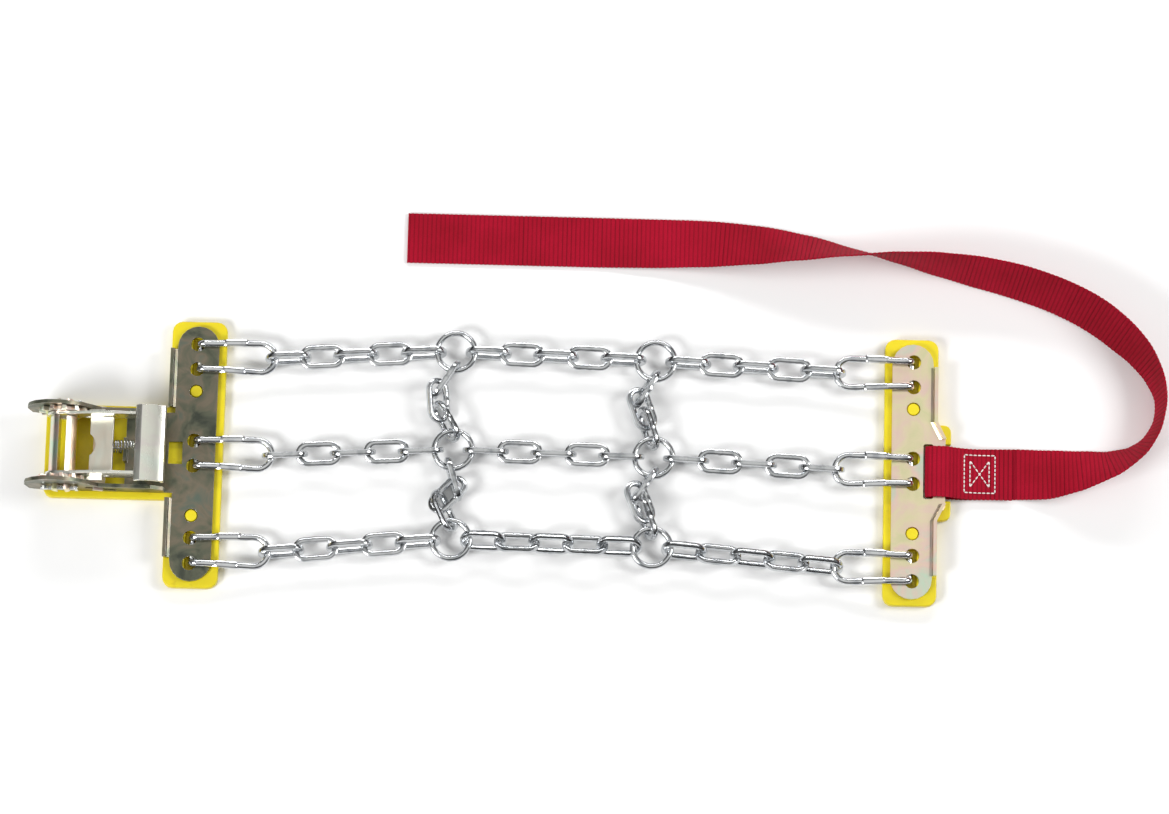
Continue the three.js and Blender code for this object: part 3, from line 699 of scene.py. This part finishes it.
def make_stitching(centres):
    """A sewn rectangle with a bow tie inside it, through both plies, as single raised stitches."""
    x0, x1 = SEAM_X
    y0, y1 = -SEAM_HALF, SEAM_HALF
    inner = (x0 + SEAM_INSET, x1 - SEAM_INSET, y0 + SEAM_INSET, y1 - SEAM_INSET)
    lines = [((x0, y0), (x1, y0)), ((x1, y0), (x1, y1)), ((x1, y1), (x0, y1)), ((x0, y1), (x0, y0)),
             ((inner[0], inner[2]), (inner[0], inner[3])), ((inner[0], inner[3]), (inner[1], inner[2])),
             ((inner[1], inner[2]), (inner[1], inner[3])), ((inner[1], inner[3]), (inner[0], inner[2]))]
    top = [(c.x, c.z) for c in centres[:TOP_PLY_POINTS]]
    margin = STITCH_GAP / STITCH / 2
    joined = bmesh.new()
    for a, b in lines:
        a, b = Vector(a), Vector(b)
        count = max(1, round((b - a).length / STITCH))
        for i in range(count):
            p = a.lerp(b, (i + margin) / count)
            q = a.lerp(b, (i + 1 - margin) / count)
            rings = []
            for k in range(7):
                t = k / 6
                at = p.lerp(q, t)
                ground = min(top, key=lambda c: abs(c[0] - at.x))[1] + STRAP_THICK / 2
                lift = THREAD * (0.1 + 0.75 * math.sin(math.pi * t))
                size = THREAD * (0.45 + 0.55 * math.sin(math.pi * t) ** 0.5)
                forward = (q - p).normalized()
                ring = []
                for w in (2 * math.pi * s / 8 for s in range(8)):
                    aside = math.cos(w) * size
                    height = ground + lift + math.sin(w) * size * 0.8
                    ring.append(Vector((at.x - forward.y * aside, at.y + forward.x * aside, height)))
                rings.append(ring)
            joined.from_mesh(skin("stitch", rings, False))
    mesh = bpy.data.meshes.new("strap_stitching")
    joined.to_mesh(mesh)
    joined.free()
    return show("strap_stitching", mesh, "thread", "strap_end")


# ---- studio ---------------------------------------------------------------------------


CAMERA_TARGET = Vector((LEFT_X + 264.2 * MM, 39 * MM, 8 * MM))
CAMERA_ELEVATION = 78  # degrees
CAMERA_ROLL = 1.45
CAMERA_AWAY = 3.2  # metres from the target
VIEW_WIDTH = 0.795  # metres across the picture at the target


def make_camera():
    data = bpy.data.cameras.new("camera")
    data.sensor_width = 36
    data.lens = data.sensor_width * CAMERA_AWAY / VIEW_WIDTH
    data.clip_end = 50
    camera = bpy.data.objects.new("camera", data)
    bpy.context.scene.collection.objects.link(camera)
    elevation = math.radians(CAMERA_ELEVATION)
    camera.location = CAMERA_TARGET + Vector((0, -math.cos(elevation), math.sin(elevation))) * CAMERA_AWAY
    level = (CAMERA_TARGET - camera.location).to_track_quat("-Z", "Y").to_matrix().to_4x4()
    roll = Matrix.Rotation(math.radians(CAMERA_ROLL), 4, "Z")
    camera.matrix_world = Matrix.Translation(camera.location) @ level @ roll
    bpy.context.scene.camera = camera


def area_light(name, place, target, size, power):
    data = bpy.data.lights.new(name, "AREA")
    data.shape = "RECTANGLE"
    data.size, data.size_y = size
    data.energy = power
    light = bpy.data.objects.new(name, data)
    bpy.context.scene.collection.objects.link(light)
    light.location = place
    light.rotation_euler = (Vector(target) - Vector(place)).to_track_quat("-Z", "Y").to_euler()


# Name, place, target, size and watts.
LIGHTS = (
    ("key", (-1.3, -0.9, 1.35), (0.05, 0, 0), (0.8, 0.6), 29),
    ("fill", (1.5, 0.2, 1.2), (0.05, 0, 0), (0.7, 0.7), 17),
    ("strip", (0.1, 1.3, 0.8), (0.05, 0.05, 0), (1.6, 0.2), 10),
)
FLOOR_HALF = 6  # metres
FLOOR_GAP = 0.3 * MM
SKY_STRENGTH = 0.42
# How high in the sky, and how bright: dark at the horizon, bright overhead.
SKY = ((0.35, (0.03, 0.03, 0.032, 1)), (0.84, (0.6, 0.6, 0.6, 1)), (0.97, (1.9, 1.9, 1.85, 1)))


def make_studio():
    mesh = bpy.data.meshes.new("floor")
    far = FLOOR_HALF
    mesh.from_pydata([(-far, -far, 0), (far, -far, 0), (far, far, 0), (-far, far, 0)], [], [(0, 1, 2, 3)])
    floor = bpy.data.objects.new("floor", mesh)
    bpy.context.scene.collection.objects.link(floor)
    p = Paint("studio_floor")
    p.set(Base_Color=(0.93, 0.93, 0.93, 1), Roughness=0.9)
    mesh.materials.append(p.material)
    floor.location.z = -FLOOR_GAP
    world = bpy.data.worlds.new("studio")
    bpy.context.scene.world = world
    world.use_nodes = True
    tree = world.node_tree
    coords = tree.nodes.new("ShaderNodeTexCoord")
    split = tree.nodes.new("ShaderNodeSeparateXYZ")
    ramp = tree.nodes.new("ShaderNodeValToRGB")
    tree.links.new(coords.outputs["Generated"], split.inputs["Vector"])
    tree.links.new(split.outputs["Z"], ramp.inputs["Fac"])
    tree.links.new(ramp.outputs["Color"], tree.nodes["Background"].inputs["Color"])
    elements = ramp.color_ramp.elements
    elements.new(0.5)
    for element, (height, colour) in zip(elements, SKY):
        element.position = height
        element.color = colour
    tree.nodes["Background"].inputs["Strength"].default_value = SKY_STRENGTH
    for light in LIGHTS:
        area_light(*light)


bpy.context.scene.view_settings.view_transform = "Standard"
make_camera()
make_strap()
make_rows()
make_rings()
make_cross_chains()
make_lap_links()
make_hardware()
make_springs()
make_studio()
